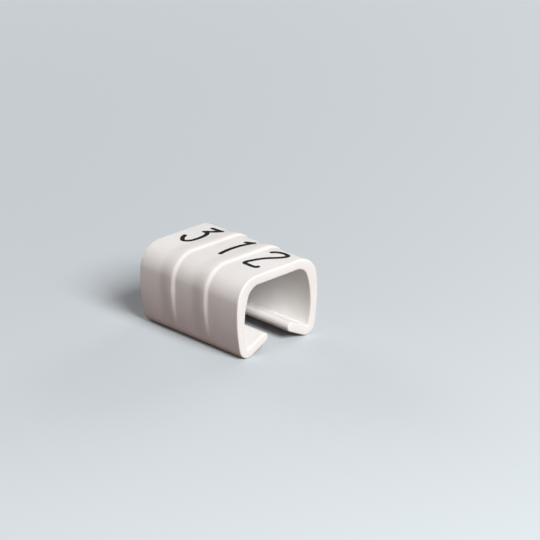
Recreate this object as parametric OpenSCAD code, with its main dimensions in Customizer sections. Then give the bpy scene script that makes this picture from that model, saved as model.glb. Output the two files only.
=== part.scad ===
/* [Clip section] */
// Width across the two bowed sides, at their widest
clip_w = 8.9; // [7.5:0.1:12]
// Height from the bottom corners to the top face
clip_h = 6.7; // [6:0.1:8]
// Thickness of the top, of the lips and of the sides where the inside is widest
wall = 0.8; // [0.6:0.05:1]
// Outer radius of the two top corners
top_corner_r = 2.1; // [1:0.1:2.5]
// Outer radius of the bowed sides
side_bow_r = 13; // [8:0.5:25]
// Depth below the top face at which the sides are widest
waist_depth = 3.1; // [2.5:0.1:3.6]
// Inner radius of the two top corners
top_fillet_r = 1.2; // [0.4:0.1:1.8]
// Inner radius of the bowed sides
bore_bow_r = 6.8; // [6:0.1:12]
// Depth below the top face at which the inside is widest
bore_waist_depth = 3.9; // [3.4:0.1:4.4]
// Inner radius of the two bottom corners
bottom_fillet_r = 0.1; // [0.05:0.05:0.6]
// Angle at which the lips turn up into the clip
lip_rise = 26; // [5:1:35]
// Width of the mouth between the lips
mouth_w = 2.2; // [1.2:0.1:4]

/* [Character places] */
// Number of character places in the row
places = 3; // [1:1:6]
// Length of one place along the row
place_pitch = 3.75; // [3:0.05:6]
// Height of the raised bead between two places
bead_h = 0.12; // [0.05:0.01:0.25]
// Length along which the wall rises to a bead
bead_rise = 1.6; // [0.2:0.05:1.8]
// Length along which a bead falls away into the next place
bead_fall = 0.5; // [0.3:0.05:1]
// Height lost along each place
place_taper = 0.02; // [0.01:0.01:0.1]
// Radius of the outer edges at both ends of the row
edge_r = 0.1; // [0.05:0.01:0.25]
// Radius of the inner edges at both ends of the row
bore_edge_r = 0.06; // [0.02:0.01:0.1]

/* [Smoothness] */
// Facets along each rounded corner
corner_steps = 8; // [4:1:16]
// Facets along each half of a bowed side
side_steps = 4; // [2:1:8]
// Facets along the start of a lip, and along each half of its round end
lip_steps = 4; // [3:1:8]
// Facets along each slope of a bead
bead_steps = 4; // [3:1:8]
// Facets along the edges at the ends of the row
edge_steps = 3; // [2:1:6]

/* [Hidden] */

row_l = places * place_pitch;
bottom_corner_r = bottom_fillet_r + wall;

// Half of the section lies to the right of the middle of the top face: its outer side and bottom corner
side_centre = [clip_w / 2 - side_bow_r, -waist_depth];
bottom_angle = -asin((clip_h - waist_depth - bottom_corner_r) / (side_bow_r - bottom_corner_r));
bottom_centre = side_centre + (side_bow_r - bottom_corner_r) * unit(bottom_angle);

// The lip faces this way, and its round end stops at the mouth
lip_facing = -90 - lip_rise;
lip_start = bottom_centre + bottom_corner_r * unit(lip_facing);
lip_l = (lip_start.x - mouth_w / 2 - wall / 2 * (1 - sin(lip_rise))) / cos(lip_rise);
lip_tip = lip_start + lip_l * unit(lip_facing - 90);

// The inner side has a bow of its own, and its bottom fillet lies between that bow and the lip
bore_centre = [clip_w / 2 - wall - bore_bow_r, -bore_waist_depth];
lip_floor = lip_start - (wall + bottom_fillet_r) * unit(lip_facing) - bore_centre;
floor_dir = unit(lip_facing + 90);
floor_start = lip_floor * floor_dir;
fillet_reach = sqrt(pow(bore_bow_r - bottom_fillet_r, 2) - lip_floor * lip_floor + pow(floor_start, 2));
fillet_centre = bore_centre + lip_floor + (fillet_reach - floor_start) * floor_dir;

function unit(angle) = [cos(angle), sin(angle)];
function mix(a, b, t) = a + (b - a) * t;
function ease(t) = (1 - cos(180 * max(0, t))) / 2;
function rest(list) = [for (i = [1 : len(list) - 1]) list[i]];
function reversed(list) = [for (i = [len(list) - 1 : -1 : 0]) list[i]];
function arc(centre, from_r, to_r, from, to, steps) =
    [for (i = [0 : steps]) centre + mix(from_r, to_r, i / steps) * unit(mix(from, to, i / steps))];

// Half of a face of the wall, from the top to the lip's end, raised all over, and lifted down to the waist
function half_face(bow_centre, bow_r, top, corner_r, foot_centre, foot_r, lip_end, raise, lift) =
    let (start = asin((top - corner_r - bow_centre.y) / (bow_r - corner_r)))
    let (end = asin((foot_centre.y - bow_centre.y) / (bow_r - foot_r)))
    let (corner_centre = bow_centre + (bow_r - corner_r) * unit(start))
    let (full = raise + lift)
    concat(
        arc(corner_centre, corner_r + full, corner_r + full, 90, start, corner_steps),
        rest(arc(bow_centre, bow_r + full, bow_r + full, start, 0, side_steps)),
        rest(arc(bow_centre, bow_r + full, bow_r + raise, 0, end, side_steps)),
        rest(arc(foot_centre, foot_r + raise, foot_r + raise, end, -90, corner_steps)),
        rest(arc(foot_centre, foot_r + raise, foot_r + raise, -90, lip_facing, lip_steps)),
        [lip_end + raise * unit(lip_facing)]);

// Rungs across the wall, from its outer to its inner face: along half of the section and round the lip end
function half_rungs(outer_soft, inner_soft, lift) =
    let (outer = half_face(side_centre, side_bow_r, 0, top_corner_r, bottom_centre, bottom_corner_r,
                           lip_tip, -outer_soft, lift))
    let (inner = half_face(bore_centre, bore_bow_r, -wall, top_fillet_r, fillet_centre, bottom_fillet_r,
                           lip_tip - wall * unit(lip_facing), inner_soft, 0))
    let (last = len(outer) - 1)
    let (lip_centre = (outer[last] + inner[last]) / 2)
    let (lip_r = norm(outer[last] - inner[last]) / 2)
    concat(
        [for (i = [0 : last]) [outer[i], inner[i]]],
        [for (i = [1 : lip_steps - 1])
            let (turn = 90 * i / lip_steps)
            [for (a = [turn, 180 - turn]) lip_centre + lip_r * unit(lip_facing - a)]]);

// The outline of the whole section, out along one face and back along the other
function section(outer_soft, inner_soft, lift) =
    let (half = half_rungs(outer_soft, inner_soft, lift))
    let (rungs = concat([for (rung = reversed(half)) [for (p = rung) [-p.x, p.y]]], half))
    concat([for (rung = rungs) rung[0]], [for (rung = reversed(rungs)) rung[1]]);

// Lift of the outer face along the row: it falls from the bead behind, tapers, and rises to the bead ahead
function lift_at(x) =
    let (place = min(floor(x / place_pitch), places - 1))
    let (along = x - place * place_pitch)
    let (fall = place > 0 ? bead_h * ease(1 - along / bead_fall) : 0)
    let (ahead = place < places - 1 ? ease(1 - (place_pitch - along) / bead_rise) : 0)
    fall - place_taper * along / place_pitch + (bead_h + place_taper) * ahead;

// How far a rounded edge has drawn back a face, near an end of the row
function edge_soft(x) =
    let (inset = max(0, edge_r - min(x, row_l - x)))
    edge_r - sqrt(edge_r * edge_r - inset * inset);

// Where the row is sliced: round the edges at both ends, and along both slopes of each bead
edge_slices = [for (i = [0 : edge_steps]) edge_r * (1 - cos(90 * i / edge_steps))];
bead_slices = concat(
    [for (k = [0 : bead_steps - 1]) bead_rise * (k / bead_steps - 1)],
    [for (k = [0 : bead_steps]) bead_fall * k / bead_steps]);
row_slices = concat(
    edge_slices,
    [for (i = [1 : 1 : places - 1], s = bead_slices) i * place_pitch + s],
    [for (s = reversed(edge_slices)) row_l - s]);

// A closed skin over outlines that all have as many points, with rungs across its two ends
module skin(outlines) {
    count = len(outlines[0]);
    last = len(outlines) - 1;
    near = last * count;
    sides = [for (k = [0 : last - 1], i = [0 : count - 1])
        let (a = k * count + i, b = k * count + (i + 1) % count)
        each [[a, b, b + count], [a, b + count, a + count]]];
    ends = [for (i = [0 : count / 2 - 2])
        let (j = count - 1 - i)
        each [[i, j, j - 1], [i, j - 1, i + 1],
              [near + i, near + i + 1, near + j - 1], [near + i, near + j - 1, near + j]]];
    polyhedron([for (o = outlines) each o], concat(sides, ends), convexity = 6);
}

// One moulding that stands on its two bottom corners, with the row along X
module marker_clip() {
    color("white")
        translate([-row_l / 2, 0, clip_h])
            skin([for (x = row_slices)
                let (soft = edge_soft(x))
                [for (p = section(soft, soft * bore_edge_r / edge_r, lift_at(x))) [x, p.x, p.y]]]);
}

marker_clip();
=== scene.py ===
"""A white clip-on marker with three printed numerals: its moulding, its print, and a plain studio."""
import math

import bmesh
import bpy
from mathutils import Matrix, Vector


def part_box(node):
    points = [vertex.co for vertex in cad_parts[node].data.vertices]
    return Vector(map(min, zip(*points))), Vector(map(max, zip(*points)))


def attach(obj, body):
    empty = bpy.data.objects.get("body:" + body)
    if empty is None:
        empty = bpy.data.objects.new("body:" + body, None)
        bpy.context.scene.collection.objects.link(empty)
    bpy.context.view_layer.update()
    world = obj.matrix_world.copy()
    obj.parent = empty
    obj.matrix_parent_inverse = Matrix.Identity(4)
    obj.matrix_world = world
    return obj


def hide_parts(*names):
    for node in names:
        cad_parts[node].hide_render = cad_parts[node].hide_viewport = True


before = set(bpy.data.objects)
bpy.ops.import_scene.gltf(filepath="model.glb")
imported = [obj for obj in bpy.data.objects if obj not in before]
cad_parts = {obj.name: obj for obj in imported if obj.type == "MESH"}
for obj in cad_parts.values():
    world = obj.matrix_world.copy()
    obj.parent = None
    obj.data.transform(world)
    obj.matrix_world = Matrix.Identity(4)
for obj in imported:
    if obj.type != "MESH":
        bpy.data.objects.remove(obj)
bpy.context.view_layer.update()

# Sizes of the moulding, in metres
MM = 0.001
WALL = 0.8 * MM
TOP_CORNER_R = 2.1 * MM
SIDE_BOW_R = 13 * MM
WAIST_DEPTH = 3.1 * MM
TOP_FILLET_R = 1.2 * MM
BORE_BOW_R = 6.8 * MM
BORE_WAIST_DEPTH = 3.9 * MM
BOTTOM_FILLET_R = 0.1 * MM
BOTTOM_CORNER_R = BOTTOM_FILLET_R + WALL
LIP_RISE = math.radians(26)
LIP_FACING = -math.pi / 2 - LIP_RISE
MOUTH_W = 2.2 * MM
PLACES = 3
BEAD_H = 0.12 * MM
BEAD_RISE = 1.6 * MM
BEAD_FALL = 0.5 * MM
PLACE_TAPER = 0.02 * MM
EDGE_R = 0.1 * MM
BORE_EDGE_R = 0.06 * MM

# Sizes that the solid gives
clip_low, clip_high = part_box("marker_clip")
ROW_L = clip_high.x - clip_low.x
PLACE_PITCH = ROW_L / PLACES
CLIP_W = clip_high.y - clip_low.y - 2 * BEAD_H
TOP_Z = clip_high.z - BEAD_H
BOTTOM_Z = clip_low.z

# How finely the moulding is drawn, and how close two of its slices or points can lie
CORNER_STEPS = 20
SIDE_STEPS = 12
LIP_STEPS = 10
ROW_STEP = 0.25 * MM
BEAD_STEP = 0.04 * MM
EDGE_STEPS = 6
SLICE_GAP = 0.001 * MM
MERGE_GAP = 0.0001 * MM

# Keeps a whole number whole when a node rounds it down
COUNT_SLACK = 0.0001

# How a point of the section can move: with a bead, and with the rounded edges at the ends of the row
MOVES = ("with_bead", "with_outer", "with_inner")

# The print: each stroke runs through its points, in millimetres along the row and up the numeral
NUMERAL_STROKES = {
    "numeral_3": [
        [(1.3, 2.2), (2.74, 2.27)],
        [(2.62, 2.32), (1.4, 1.1)],
        [(1.52, 1.22), (1.82, 1.27), (2.1, 0.95), (2.26, 0.3), (2.28, -0.3), (2.14, -0.95), (1.78, -1.25),
         (1.36, -1.0), (1.08, -0.55), (0.97, -0.25)],
    ],
    "numeral_1": [
        [(5.93, -1.3), (5.8, -0.5), (5.76, 0.4), (5.86, 1.3), (6.1, 2.05), (6.32, 2.46)],
        [(6.34, 2.4), (5.44, 1.88)],
    ],
    "numeral_2": [
        [(8.5, 1.75), (8.75, 2.1), (9.2, 2.37), (9.7, 2.42), (10.05, 2.25), (10.03, 1.95), (9.75, 1.45),
         (9.3, 0.9), (8.95, 0.3), (8.7, -0.4), (8.6, -0.95), (8.7, -1.17), (9.05, -1.19), (9.7, -1.19),
         (9.95, -1.1), (9.9, -0.76)],
    ],
}

# A stroke's width, the share of it that is left at a tip, and how finely the stroke is drawn
STROKE_W = 0.37 * MM
TIP_SHARE = 0.02
STROKE_STEP = 0.03 * MM

# The ink's thickness, the share of it by which its middle is raised, and how much higher a next stroke lies
INK_H = 0.012 * MM
INK_RAISE = 0.25
LAYER_H = 0.002 * MM

# Finishes: the tones between which each one goes, and the size of its clouds, grain and skin
PLASTIC_TONES = ((0.83, 0.822, 0.808, 1), (0.872, 0.868, 0.86, 1))
PLASTIC_CLOUD = 2.5 * MM
PLASTIC_GRAIN = 0.09 * MM
PLASTIC_SKIN_H = 0.01 * MM
INK_TONES = ((0.008, 0.008, 0.009, 1), (0.03, 0.029, 0.03, 1))
INK_GRAIN = 0.12 * MM
INK_SKIN_H = 0.004 * MM

# The camera stands where the photograph was taken from
PHOTO_SIZE = 540
PHOTO_AZIMUTH = math.radians(45.3)
PHOTO_ELEVATION = math.radians(21.99)
PHOTO_FOCAL = 2450
ANCHOR_PIXEL = (278.25, 307.31)
ANCHOR_SCALE = 12.77 / MM
SENSOR_W = 36
CLIP_START = 0.01

# The floor, in metres: how far it reaches, and where a glow painted on it for the camera, starting from
# black, has hidden it
FLOOR_REACH = 2.0
FLOOR_FADE = 0.5
NO_GLOW = (0, 0, 0, 1)

# The light and the tones that the floor and the surround give: first to the marker, then to the camera
FLOOR_TONES = ((0.19, 0.15, 0.14, 1), (0.56, 0.62, 0.66, 1))
SURROUND_TONES = ((1.0, 0.93, 0.92, 1), (0.93, 0.96, 1.0, 1))
SURROUND_LIGHT = 0.06
SURROUND_SEEN = 0.76

# Lamps, each in a direction from the marker, with its distance and size in metres
LAMPS = {
    "key": {"direction": (0.75, -0.13, 0.65), "distance": 0.3, "size": 0.14,
            "level": 1.32, "colour": (1.0, 0.985, 0.97)},
    "fill": {"direction": (-0.1, -0.8, 0.6), "distance": 0.35, "size": 0.3,
             "level": 0.1, "colour": (1.0, 0.74, 0.72)},
    "far side": {"direction": (-0.1, 0.95, 0.22), "distance": 0.35, "size": 0.16,
                 "level": 0.34, "colour": (1.0, 0.98, 0.97)},
    "far end": {"direction": (-0.95, 0.1, 0.22), "distance": 0.35, "size": 0.16,
                "level": 0.34, "colour": (1.0, 0.98, 0.97)},
}


class Wire:
    """An output in a node tree. Sums with it add Math nodes, and add() makes any other node."""

    def __init__(self, tree, socket=None):
        self.tree = tree
        self.socket = socket

    def add(self, kind, settings=None, sockets=None, out=0):
        """Makes a node, sets it up, feeds its sockets and gives one of its outputs."""
        node = self.tree.nodes.new(kind)
        for name, value in (settings or {}).items():
            if name == "stops":
                self.set_stops(node.color_ramp, value)
            else:
                setattr(node, name, value)
        for name, value in (sockets or {}).items():
            for one in value if isinstance(value, list) else [value]:
                self.feed(node.inputs[name], one)
        return Wire(self.tree, node.outputs[out]) if node.outputs else node

    def feed(self, socket, value):
        """Links a wire to a socket, or sets the socket to a value."""
        if isinstance(value, Wire):
            self.tree.links.new(value.socket, socket)
        else:
            socket.default_value = value

    def set_stops(self, ramp, stops):
        """Gives a colour ramp its stops, each a place and a colour."""
        while len(ramp.elements) < len(stops):
            ramp.elements.new(1)
        for element, (place, colour) in zip(ramp.elements, stops):
            element.position = place
            element.color = colour

    def other(self, name):
        """Another output of the same node."""
        return Wire(self.tree, self.socket.node.outputs[name])

    def math(self, operation, *values):
        """A Math node on this and up to two more values."""
        return self.add("ShaderNodeMath", {"operation": operation}, dict(enumerate([self, *values])))

    def clamped(self):
        """This value, held between 0 and 1."""
        return self.math("MAXIMUM", 0.0).math("MINIMUM", 1.0)

    def eased(self):
        """This value from 0 to 1, with a soft start and end."""
        return 0.5 - (self.clamped() * math.pi).math("COSINE") * 0.5

    def toned(self, tones, start=0, end=1):
        """A colour that goes from one tone to the other while this value goes from start to end."""
        return self.add("ShaderNodeValToRGB", {"stops": list(zip((start, end), tones))}, {"Fac": self})

    def scaled(self, factor):
        """This vector, made longer by a factor."""
        return self.add("ShaderNodeVectorMath", {"operation": "SCALE"},
                        {"Vector": self, "Scale": factor})

    def plus(self, vector):
        """The sum of this and another vector."""
        return self.add("ShaderNodeVectorMath", {"operation": "ADD"}, {0: self, 1: vector})

    def __add__(self, value):
        return self.math("ADD", value)

    def __sub__(self, value):
        return self.math("SUBTRACT", value)

    def __rsub__(self, value):
        return self.math("MULTIPLY", -1.0).math("ADD", value)

    def __mul__(self, value):
        return self.math("MULTIPLY", value)

    def __truediv__(self, value):
        return self.math("DIVIDE", value)

    __radd__ = __add__
    __rmul__ = __mul__


def new_object(name, data):
    """An object that shows this data, at the origin."""
    made = bpy.data.objects.new(name, data)
    bpy.context.scene.collection.objects.link(made)
    return made


def unit(angle):
    """A direction across the section."""
    return Vector((math.cos(angle), math.sin(angle)))


def arc(centre, radius, start, end, steps):
    """Points along an arc of the section, with the direction in which each faces."""
    for i in range(steps + 1):
        facing = unit(start + (end - start) * i / steps)
        yield centre + radius * facing, facing


def half_face(bow_centre, bow_r, top, corner_r, foot_centre, foot_r, lip_end):
    """Half of a face of the wall, from the top to the lip's end.

    Each of its points is a place, the direction in which it faces, and its share of a bead.
    """
    start = math.asin((top - corner_r - bow_centre.y) / (bow_r - corner_r))
    end = math.asin((foot_centre.y - bow_centre.y) / (bow_r - foot_r))
    corner_centre = bow_centre + (bow_r - corner_r) * unit(start)
    middle = Vector((0, top))
    flat = [(middle.lerp(corner_centre + Vector((0, corner_r)), i / SIDE_STEPS), unit(math.pi / 2))
            for i in range(SIDE_STEPS)]
    corner = list(arc(corner_centre, corner_r, math.pi / 2, start, CORNER_STEPS))
    upper = list(arc(bow_centre, bow_r, start, 0, SIDE_STEPS))[1:]
    lower = list(arc(bow_centre, bow_r, 0, end, SIDE_STEPS))[1:]
    foot = [*list(arc(foot_centre, foot_r, end, -math.pi / 2, CORNER_STEPS))[1:],
            *list(arc(foot_centre, foot_r, -math.pi / 2, LIP_FACING, LIP_STEPS))[1:]]
    lip = [(foot[-1][0].lerp(lip_end, i / LIP_STEPS), unit(LIP_FACING)) for i in range(1, LIP_STEPS + 1)]
    return [*[(*point, 1) for point in flat + corner + upper],
            *[(*point, 1 - (i + 1) / SIDE_STEPS) for i, point in enumerate(lower)],
            *[(*point, 0) for point in foot + lip]]


def half_section():
    """Half of the section, from the middle of the top to the lip's end: rungs across the wall.

    A rung is an outer and an inner point. Each is a place, then how it moves with a bead, with the outer
    edge and with the inner edge.
    """
    still = Vector((0, 0))
    side_centre = Vector((CLIP_W / 2 - SIDE_BOW_R, TOP_Z - WAIST_DEPTH))
    side_reach = SIDE_BOW_R - BOTTOM_CORNER_R
    bottom_angle = -math.asin((TOP_Z - BOTTOM_Z - WAIST_DEPTH - BOTTOM_CORNER_R) / side_reach)
    bottom_centre = side_centre + side_reach * unit(bottom_angle)
    lip_start = bottom_centre + BOTTOM_CORNER_R * unit(LIP_FACING)
    lip_l = (lip_start.x - MOUTH_W / 2 - WALL / 2 * (1 - math.sin(LIP_RISE))) / math.cos(LIP_RISE)
    lip_tip = lip_start + lip_l * unit(LIP_FACING - math.pi / 2)

    bore_centre = Vector((CLIP_W / 2 - WALL - BORE_BOW_R, TOP_Z - BORE_WAIST_DEPTH))
    lip_floor = lip_start - (WALL + BOTTOM_FILLET_R) * unit(LIP_FACING) - bore_centre
    floor_dir = unit(LIP_FACING + math.pi / 2)
    floor_start = lip_floor.dot(floor_dir)
    fillet_reach = math.sqrt(
        (BORE_BOW_R - BOTTOM_FILLET_R) ** 2 - lip_floor.length_squared + floor_start ** 2)
    fillet_centre = bore_centre + lip_floor + (fillet_reach - floor_start) * floor_dir

    outer = half_face(side_centre, SIDE_BOW_R, TOP_Z, TOP_CORNER_R,
                      bottom_centre, BOTTOM_CORNER_R, lip_tip)
    inner = half_face(bore_centre, BORE_BOW_R, TOP_Z - WALL, TOP_FILLET_R,
                      fillet_centre, BOTTOM_FILLET_R, lip_tip - WALL * unit(LIP_FACING))
    rungs = [[(place, share * facing, facing, still), (inner_place, still, still, inner_facing)]
             for (place, facing, share), (inner_place, inner_facing, _) in zip(outer, inner)]

    # The lip's round end, whose points share the moves of the lip's two faces
    lip_middle = lip_tip - WALL / 2 * unit(LIP_FACING)
    for i in range(1, LIP_STEPS):
        turn = math.pi / 2 * i / LIP_STEPS
        facings = [unit(LIP_FACING - a) for a in (turn, math.pi - turn)]
        rungs.append([(lip_middle + WALL / 2 * facing, still, (unit(LIP_FACING) + facing) / 2,
                       (unit(LIP_FACING) - facing) / 2) for facing in facings])
    return rungs


def section_mesh():
    """The whole section as a flat ring of quads, whose points know how they move."""
    half = half_section()
    mirrored = [[tuple(Vector((-v.x, v.y)) for v in point) for point in rung]
                for rung in half[:0:-1]]
    rungs = mirrored + half
    points = [rung[0] for rung in rungs] + [rung[1] for rung in reversed(rungs)]
    last = len(points) - 1
    mesh = bpy.data.meshes.new("section")
    mesh.from_pydata([(0, *point[0]) for point in points], [],
                     [(i, i + 1, last - i - 1, last - i) for i in range(len(rungs) - 1)])
    for column, name in enumerate(MOVES, 1):
        moves = mesh.attributes.new(name, "FLOAT_VECTOR", "POINT")
        for i, point in enumerate(points):
            moves.data[i].vector = (0, *point[column])
    return mesh


def row_slices():
    """Where the row is sliced: closely along the beads and the rounded ends, and widely between them."""
    row_steps = round(ROW_L / ROW_STEP)
    found = {ROW_L * i / row_steps for i in range(row_steps + 1)}
    bead_l = BEAD_FALL + BEAD_RISE
    bead_steps = round(bead_l / BEAD_STEP)
    for place in range(1, PLACES):
        crest = place * PLACE_PITCH
        found |= {crest - BEAD_RISE + bead_l * i / bead_steps for i in range(bead_steps + 1)}
        found.add(crest)
    for i in range(EDGE_STEPS + 1):
        depth = EDGE_R * (1 - math.cos(math.pi / 2 * i / EDGE_STEPS))
        found |= {depth, ROW_L - depth}
    kept = []
    for x in sorted(x for x in found if 0 <= x <= ROW_L):
        if not kept or x - kept[-1] > SLICE_GAP:
            kept.append(x)
    return kept


def new_tree(name, inputs):
    """A geometry tree with named inputs, given back with a wire for each of them."""
    tree = bpy.data.node_groups.new(name, "GeometryNodeTree")
    for label, kind in inputs.items():
        tree.interface.new_socket(label, in_out="INPUT", socket_type=kind)
    tree.interface.new_socket("Geometry", in_out="OUTPUT", socket_type="NodeSocketGeometry")
    start = Wire(tree).add("NodeGroupInput")
    return tree, {label: start.other(label) for label in inputs}


def end_tree(wire, material, smooth):
    """Ends a geometry tree: its shape is made real, shaded smooth or flat, and given its material."""
    real = wire.add("GeometryNodeRealizeInstances", sockets={"Geometry": wire})
    shaded = real.add("GeometryNodeSetShadeSmooth", sockets={"Geometry": real, "Shade Smooth": smooth})
    done = shaded.add("GeometryNodeSetMaterial", sockets={"Geometry": shaded, "Material": material})
    done.add("NodeGroupOutput", sockets={"Geometry": done})


def grow(thing, tree, values):
    """Runs a geometry tree on an object and gives back what it grows, as a plain mesh."""
    modifier = thing.modifiers.new(tree.name, "NODES")
    modifier.node_group = tree
    for item in tree.interface.items_tree:
        if item.in_out == "INPUT" and item.name in values:
            modifier[item.identifier] = values[item.name]
    grown = thing.evaluated_get(bpy.context.evaluated_depsgraph_get())
    mesh = bpy.data.meshes.new_from_object(grown)
    bpy.data.objects.remove(thing)
    shape = bmesh.new()
    shape.from_mesh(mesh)
    bmesh.ops.recalc_face_normals(shape, faces=shape.faces)
    shape.to_mesh(mesh)
    shape.free()
    return mesh


def row_tree():
    """Draws the section out along the row, with its beads, tapers and rounded ends."""
    sizes = ("Row Length", "Place Pitch", "Places", "Bead Height", "Bead Fall", "Bead Rise", "Place Taper",
             "Edge Radius", "Bore Edge Radius")
    tree, given = new_tree("clip row", {
        "Geometry": "NodeSocketGeometry", "Slices": "NodeSocketObject", "Section Points": "NodeSocketInt",
        "Slice Count": "NodeSocketInt", "Material": "NodeSocketMaterial",
        **{size: "NodeSocketFloat" for size in sizes}})
    section = given["Geometry"]
    (row_l, pitch, places, bead_h, bead_fall, bead_rise, taper,
     edge_r, bore_edge_r) = (given[size] for size in sizes)
    slices = section.add("GeometryNodeObjectInfo", sockets={"Object": given["Slices"]}, out="Geometry")
    position = section.add("GeometryNodeInputPosition")
    index = section.add("GeometryNodeInputIndex")

    def sampled(geometry, value, place):
        """A vector of the point that has this number in another geometry."""
        return section.add("GeometryNodeSampleIndex", {"data_type": "FLOAT_VECTOR", "domain": "POINT"},
                           {"Geometry": geometry, "Value": value, "Index": place})

    def stored(geometry, name, value):
        """The geometry, whose points keep a number under this name."""
        return section.add("GeometryNodeStoreNamedAttribute", {"data_type": "FLOAT", "domain": "POINT"},
                           {"Geometry": geometry, "Name": name, "Value": value})

    def named(name, data_type="FLOAT"):
        """What the points keep under this name."""
        return section.add("GeometryNodeInputNamedAttribute", {"data_type": data_type}, {"Name": name})

    # The sides are a grid of slices, whose seam closes, and the ends are the section itself
    ring = given["Section Points"] + 1
    grid = section.add("GeometryNodeMeshGrid",
                       sockets={"Vertices X": given["Slice Count"], "Vertices Y": ring})
    slice_number = (index / ring + COUNT_SLACK).math("FLOOR")
    slice_x = section.add("ShaderNodeSeparateXYZ",
                          sockets={"Vector": sampled(slices, position, slice_number)})
    point_number = (index - slice_number * ring).math("MODULO", given["Section Points"])
    sides = stored(stored(grid, "row_x", slice_x), "point_number", point_number)
    ends = [stored(stored(section, "row_x", x), "point_number", index) for x in (0.0, row_l)]
    whole = section.add("GeometryNodeJoinGeometry", sockets={"Geometry": [sides, *ends]})

    # The outer face falls from the bead behind, tapers, and rises to the bead ahead. The first place has none
    # behind it and the last has none ahead. Places count from 0, so a half tells these two from the others.
    x = named("row_x")
    place = (x / pitch + COUNT_SLACK).math("FLOOR").math("MINIMUM", places - 1)
    along = x - place * pitch
    behind = place.math("GREATER_THAN", 0.5)
    ahead = place.math("LESS_THAN", places - 1.5)
    fall = bead_h * (1 - along / bead_fall).eased() * behind
    rise = (bead_h + taper) * (1 - (pitch - along) / bead_rise).eased() * ahead
    lift = fall - taper * along / pitch + rise

    # The ends of the row draw the outer face in and the inner face out
    inset = (edge_r - x.math("MINIMUM", row_l - x)).math("MAXIMUM", 0.0)
    rounded = edge_r - (edge_r * edge_r - inset * inset).math("MAXIMUM", 0.0).math("SQRT")
    bead_move, outer_move, inner_move = (
        sampled(section, named(move, "FLOAT_VECTOR"), named("point_number")) for move in MOVES)
    spot = sampled(section, position, named("point_number"))
    along_row = section.add("ShaderNodeCombineXYZ", sockets={"X": x - row_l / 2})
    lifted = spot.plus(along_row).plus(bead_move.scaled(lift))
    drawn_in = outer_move.scaled(rounded * -1.0).plus(inner_move.scaled(rounded * bore_edge_r / edge_r))
    shaped = section.add("GeometryNodeSetPosition",
                         sockets={"Geometry": whole, "Position": lifted.plus(drawn_in)})
    closed = section.add("GeometryNodeMergeByDistance",
                         sockets={"Geometry": shaped, "Distance": MERGE_GAP})
    end_tree(closed, given["Material"], True)
    return tree


def make_moulding(material):
    """The marker itself, one moulding."""
    places_along = row_slices()
    slices = bpy.data.meshes.new("slices")
    slices.from_pydata([(x, 0, 0) for x in places_along], [], [])
    slice_points = new_object("slices", slices)
    section = section_mesh()
    mesh = grow(new_object("section", section), row_tree(), {
        "Slices": slice_points, "Section Points": len(section.vertices),
        "Slice Count": len(places_along), "Material": material, "Row Length": ROW_L,
        "Place Pitch": PLACE_PITCH, "Places": float(PLACES), "Bead Height": BEAD_H, "Bead Fall": BEAD_FALL,
        "Bead Rise": BEAD_RISE, "Place Taper": PLACE_TAPER, "Edge Radius": EDGE_R,
        "Bore Edge Radius": BORE_EDGE_R})
    bpy.data.objects.remove(slice_points)
    for name in ("row_x", "point_number", *MOVES):
        if name in mesh.attributes:
            mesh.attributes.remove(mesh.attributes[name])
    moulding = new_object("moulding", mesh)
    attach(moulding, "root")
    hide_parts("marker_clip")
    return moulding


def stroke_tree():
    """Lays strokes of ink with round ends on the surface below them."""
    tree, given = new_tree("ink strokes", {
        "Geometry": "NodeSocketGeometry", "Surface": "NodeSocketObject", "Stroke Width": "NodeSocketFloat",
        "Ink Height": "NodeSocketFloat", "Step": "NodeSocketFloat", "Material": "NodeSocketMaterial"})
    width, ink_h = given["Stroke Width"], given["Ink Height"]
    path = given["Geometry"].add("GeometryNodeResampleCurve", {"mode": "LENGTH"},
                                 {"Curve": given["Geometry"], "Length": given["Step"]})
    run = path.add("GeometryNodeSplineParameter", out="Length")
    length = path.add("GeometryNodeSplineLength")
    from_tip = run.math("MINIMUM", length - run)
    inset = (1 - from_tip / (width / 2)).math("MAXIMUM", 0.0)
    rounding = (1 - inset * inset).math("SQRT").math("MAXIMUM", TIP_SHARE)
    upright = path.add("GeometryNodeSetCurveNormal", {"mode": "Z_UP"}, {"Curve": path})
    profile = path.add("GeometryNodeCurvePrimitiveQuadrilateral",
                       sockets={"Width": width, "Height": ink_h})
    ribbon = path.add("GeometryNodeCurveToMesh", sockets={
        "Curve": upright, "Profile Curve": profile, "Scale": rounding, "Fill Caps": True})

    # Each point drops on the surface from well above it, and keeps its height
    ray_top = 2 * TOP_Z
    position = path.add("GeometryNodeInputPosition")
    parts = path.add("ShaderNodeSeparateXYZ", sockets={"Vector": position})
    above = path.add("ShaderNodeCombineXYZ", sockets={"X": parts, "Y": parts.other("Y"), "Z": ray_top})
    surface = path.add("GeometryNodeObjectInfo", sockets={"Object": given["Surface"]}, out="Geometry")
    hit = path.add("GeometryNodeRaycast", sockets={
        "Target Geometry": surface, "Source Position": above, "Ray Direction": (0, 0, -1),
        "Ray Length": ray_top}, out="Hit Position")
    lifted = hit.plus(hit.other("Hit Normal").scaled(parts.other("Z") + ink_h * INK_RAISE))
    laid = path.add("GeometryNodeSetPosition", sockets={"Geometry": ribbon, "Position": lifted})
    end_tree(laid, given["Material"], False)
    return tree


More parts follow.
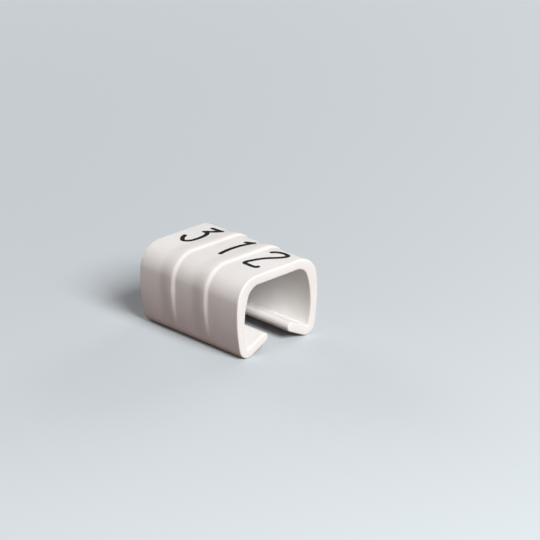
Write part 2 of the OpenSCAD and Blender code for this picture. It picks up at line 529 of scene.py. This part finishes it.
def make_numeral(name, strokes, tree, surface, material):
    """One printed numeral, whose strokes are smooth lines through their points."""
    curve = bpy.data.curves.new(name, "CURVE")
    curve.dimensions = "3D"
    for layer, points in enumerate(strokes):
        spline = curve.splines.new("BEZIER")
        spline.bezier_points.add(len(points) - 1)
        for knot, (x, y) in zip(spline.bezier_points, points):
            knot.co = (x * MM - ROW_L / 2, y * MM, layer * LAYER_H)
            knot.handle_left_type = knot.handle_right_type = "AUTO"
    mesh = grow(new_object(name + "_strokes", curve), tree, {
        "Surface": surface, "Stroke Width": STROKE_W, "Ink Height": INK_H, "Step": STROKE_STEP,
        "Material": material})
    numeral = new_object(name, mesh)
    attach(numeral, "root")


def new_material(name):
    """A material without a shader, and the place on a piece, from which its nodes start."""
    material = bpy.data.materials.new(name)
    material.use_nodes = True
    material.node_tree.nodes.clear()
    return material, Wire(material.node_tree).add("ShaderNodeTexCoord", out="Object")


def end_material(wire, values):
    """Ends a material with a shader that has these values."""
    shader = wire.add("ShaderNodeBsdfPrincipled", sockets=values)
    shader.add("ShaderNodeOutputMaterial", sockets={"Surface": shader})


def speckle(place, size, detail):
    """Even noise from 0 to 1, with lumps of this size."""
    return place.add("ShaderNodeTexNoise", sockets={"Vector": place, "Scale": 1 / size, "Detail": detail})


def white_plastic():
    """Soft white plastic as it leaves the mould: satin, a little uneven, with a fine skin."""
    material, place = new_material("white plastic")
    clouds = speckle(place, PLASTIC_CLOUD, detail=2.0)
    grain = speckle(place, PLASTIC_GRAIN, detail=3.0)
    skin = grain.add("ShaderNodeBump",
                     sockets={"Strength": 0.12, "Distance": PLASTIC_SKIN_H, "Height": grain})
    end_material(skin, {"Base Color": clouds.toned(PLASTIC_TONES, start=0.3, end=0.7),
                        "Roughness": 0.4 + 0.1 * clouds + 0.06 * grain, "Normal": skin})
    return material


def print_ink():
    """Flat black print, a little worn into the skin of the plastic."""
    material, place = new_material("print ink")
    grain = speckle(place, INK_GRAIN, detail=3.0)
    skin = grain.add("ShaderNodeBump", sockets={"Strength": 0.2, "Distance": INK_SKIN_H, "Height": grain})
    end_material(skin, {"Base Color": grain.toned(INK_TONES, start=0.35, end=0.75),
                        "Roughness": 0.65 + 0.15 * grain, "Specular IOR Level": 0.15, "Normal": skin})
    return material


def pale_floor():
    """A pale finish that throws little light back on the marker, and fades into the surround through a
    painted glow that only the camera sees.
    """
    material, place = new_material("pale floor")
    rays = place.add("ShaderNodeLightPath", out="Is Camera Ray")
    distance = place.add("ShaderNodeVectorMath", {"operation": "LENGTH"}, {"Vector": place}, out="Value")
    # Painted glow: for camera rays alone the floor emits light, from none at the marker to the surround's
    # tone far off
    floor_glow = ((distance / FLOOR_FADE).clamped() * rays).toned((NO_GLOW, SURROUND_TONES[1]))
    end_material(floor_glow, {"Base Color": rays.toned(FLOOR_TONES), "Roughness": 0.9,
                        "Emission Color": floor_glow, "Emission Strength": SURROUND_SEEN})
    return material


def make_floor(material):
    """A plain floor for the marker to stand on."""
    corners = [(x * FLOOR_REACH, y * FLOOR_REACH, 0) for x, y in ((-1, -1), (1, -1), (1, 1), (-1, 1))]
    mesh = bpy.data.meshes.new("floor")
    mesh.from_pydata(corners, [], [(0, 1, 2, 3)])
    mesh.materials.append(material)
    new_object("floor", mesh)


def add_lamp(name, direction, distance, size, level, colour):
    """A square lamp aimed at the marker; at level 1 it lights a white face that looks at it to white."""
    lamp = bpy.data.lights.new(name, "AREA")
    lamp.size = size
    lamp.energy = level * (math.pi * distance) ** 2
    lamp.color = colour
    thing = new_object(name, lamp)
    aim = Vector(direction).normalized()
    middle = Vector((0, 0, TOP_Z / 2))
    turn = aim.to_track_quat("Z", "Y").to_matrix().to_4x4()
    thing.matrix_world = Matrix.Translation(middle + aim * distance) @ turn


def light_studio():
    """A soft key from the near end and above, a weak warm fill, two lamps behind, and a pale surround."""
    for name, lamp in LAMPS.items():
        add_lamp(name, **lamp)
    world = bpy.data.worlds.new("surround")
    world.use_nodes = True
    world.node_tree.nodes.clear()
    rays = Wire(world.node_tree).add("ShaderNodeLightPath", out="Is Camera Ray")
    strength = SURROUND_LIGHT + (SURROUND_SEEN - SURROUND_LIGHT) * rays
    surround = rays.add("ShaderNodeBackground",
                        sockets={"Color": rays.toned(SURROUND_TONES), "Strength": strength})
    surround.add("ShaderNodeOutputWorld", sockets={"Surface": surround})
    bpy.context.scene.world = world


def add_camera():
    """The camera at the photograph's place, with the anchor at its pixel in the square frame."""
    right = Vector((math.cos(PHOTO_AZIMUTH), math.sin(PHOTO_AZIMUTH), 0))
    back = Vector((math.sin(PHOTO_AZIMUTH) * math.cos(PHOTO_ELEVATION),
                   -math.cos(PHOTO_AZIMUTH) * math.cos(PHOTO_ELEVATION), math.sin(PHOTO_ELEVATION)))
    up = back.cross(right)
    anchor = Vector((ROW_L / 2, 0, (TOP_Z + BOTTOM_Z) / 2))
    across = (ANCHOR_PIXEL[0] - PHOTO_SIZE / 2) / ANCHOR_SCALE
    above = (PHOTO_SIZE / 2 - ANCHOR_PIXEL[1]) / ANCHOR_SCALE
    place = anchor - across * right - above * up + PHOTO_FOCAL / ANCHOR_SCALE * back
    camera = new_object("camera", bpy.data.cameras.new("camera"))
    camera.data.sensor_width = SENSOR_W
    camera.data.lens = SENSOR_W * PHOTO_FOCAL / PHOTO_SIZE
    camera.data.clip_start = CLIP_START
    camera.matrix_world = Matrix.Translation(place) @ Matrix((right, up, back)).transposed().to_4x4()
    bpy.context.scene.camera = camera


bpy.context.scene.view_settings.view_transform = "Standard"
moulding = make_moulding(white_plastic())
strokes_to_ink, ink = stroke_tree(), print_ink()
for name, strokes in NUMERAL_STROKES.items():
    make_numeral(name, strokes, strokes_to_ink, moulding, ink)
make_floor(pale_floor())
light_studio()
add_camera()
